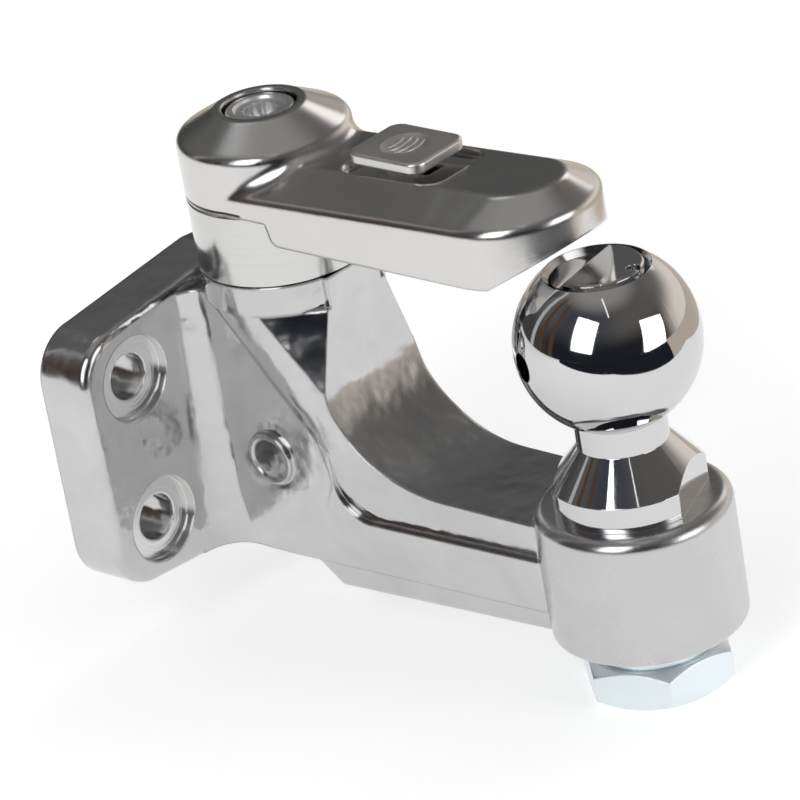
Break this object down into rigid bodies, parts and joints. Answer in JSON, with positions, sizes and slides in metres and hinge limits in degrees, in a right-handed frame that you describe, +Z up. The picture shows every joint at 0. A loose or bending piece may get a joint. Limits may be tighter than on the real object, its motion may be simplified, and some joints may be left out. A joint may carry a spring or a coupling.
{
  "type": "pintle hook with detachable tow ball",
  "caption": "Bolt-on pintle hook with a swinging latch arm and a two inch tow ball that slides off its post at a push-button lock.",
  "frame": {"origin": "centre of the four mounting bolts on the plate's back face", "axes": "+X from the plate to the ball, +Z up along the ball's post, Y across; the hook is symmetric about Y = 0"},
  "size_m": [0.1834, 0.124, 0.1527],
  "materials": {
    "hook_chrome": "plated over a coarse ground forging, softly mirrored",
    "arm_chrome": "polished",
    "ball_chrome": "mirror",
    "turned_steel": "turned, fine rings",
    "slide_steel": "satin",
    "bright_screw": "polished head",
    "hidden_steel": "plain",
    "bush_bronze": "plain bearing bronze",
    "zinc": "bright zinc, slightly blue"
  },
  "bodies": {
    "hitch": {"hook_casting": "hook_chrome", "pivot_collar": "turned_steel", "collar_dowels": "hidden_steel", "pivot_bolt": "bright_screw", "pivot_washer": "bright_screw", "thrust_washer": "bush_bronze", "ball_shank": "ball_chrome", "lock_washer": "zinc", "shank_nut": "zinc", "button_retainer": "hidden_steel", "button_spring": "hidden_steel"},
    "latch_arm": {"latch_arm": "arm_chrome", "pivot_bush": "bush_bronze", "arm_cover_plate": "turned_steel", "cover_screws": "hidden_steel", "plunger_spring": "hidden_steel"},
    "lock_slide": {"thumb_slide": "slide_steel", "lock_plunger": "hidden_steel", "plunger_pin": "hidden_steel"},
    "ball": {"ball": "ball_chrome"},
    "ball_button": {"ball_lock_button": "slide_steel"}
  },
  "joints": [
    {"name": "arm_swing", "type": "hinge", "parent": "hitch", "child": "latch_arm", "pos_m": [0.0417, 0, 0.075], "axis": [0, 0, 1], "range_deg": [0, 95]},
    {"name": "lock_pull", "type": "slide", "parent": "latch_arm", "child": "lock_slide", "axis": [1, 0, 0], "range_m": [0, 0.0065], "stiffness_N_per_m": 1500, "springref_m": -0.006, "deforming": ["plunger_spring"]},
    {"name": "ball_lift", "type": "slide", "parent": "hitch", "child": "ball", "axis": [0, 0, 1], "range_m": [0, 0.0018]},
    {"name": "button_press", "type": "slide", "parent": "hitch", "child": "ball_button", "axis": [0.4226, 0.9063, 0], "range_m": [0, 0.0018], "stiffness_N_per_m": 2500, "springref_m": -0.003, "deforming": ["button_spring"]}
  ]
}
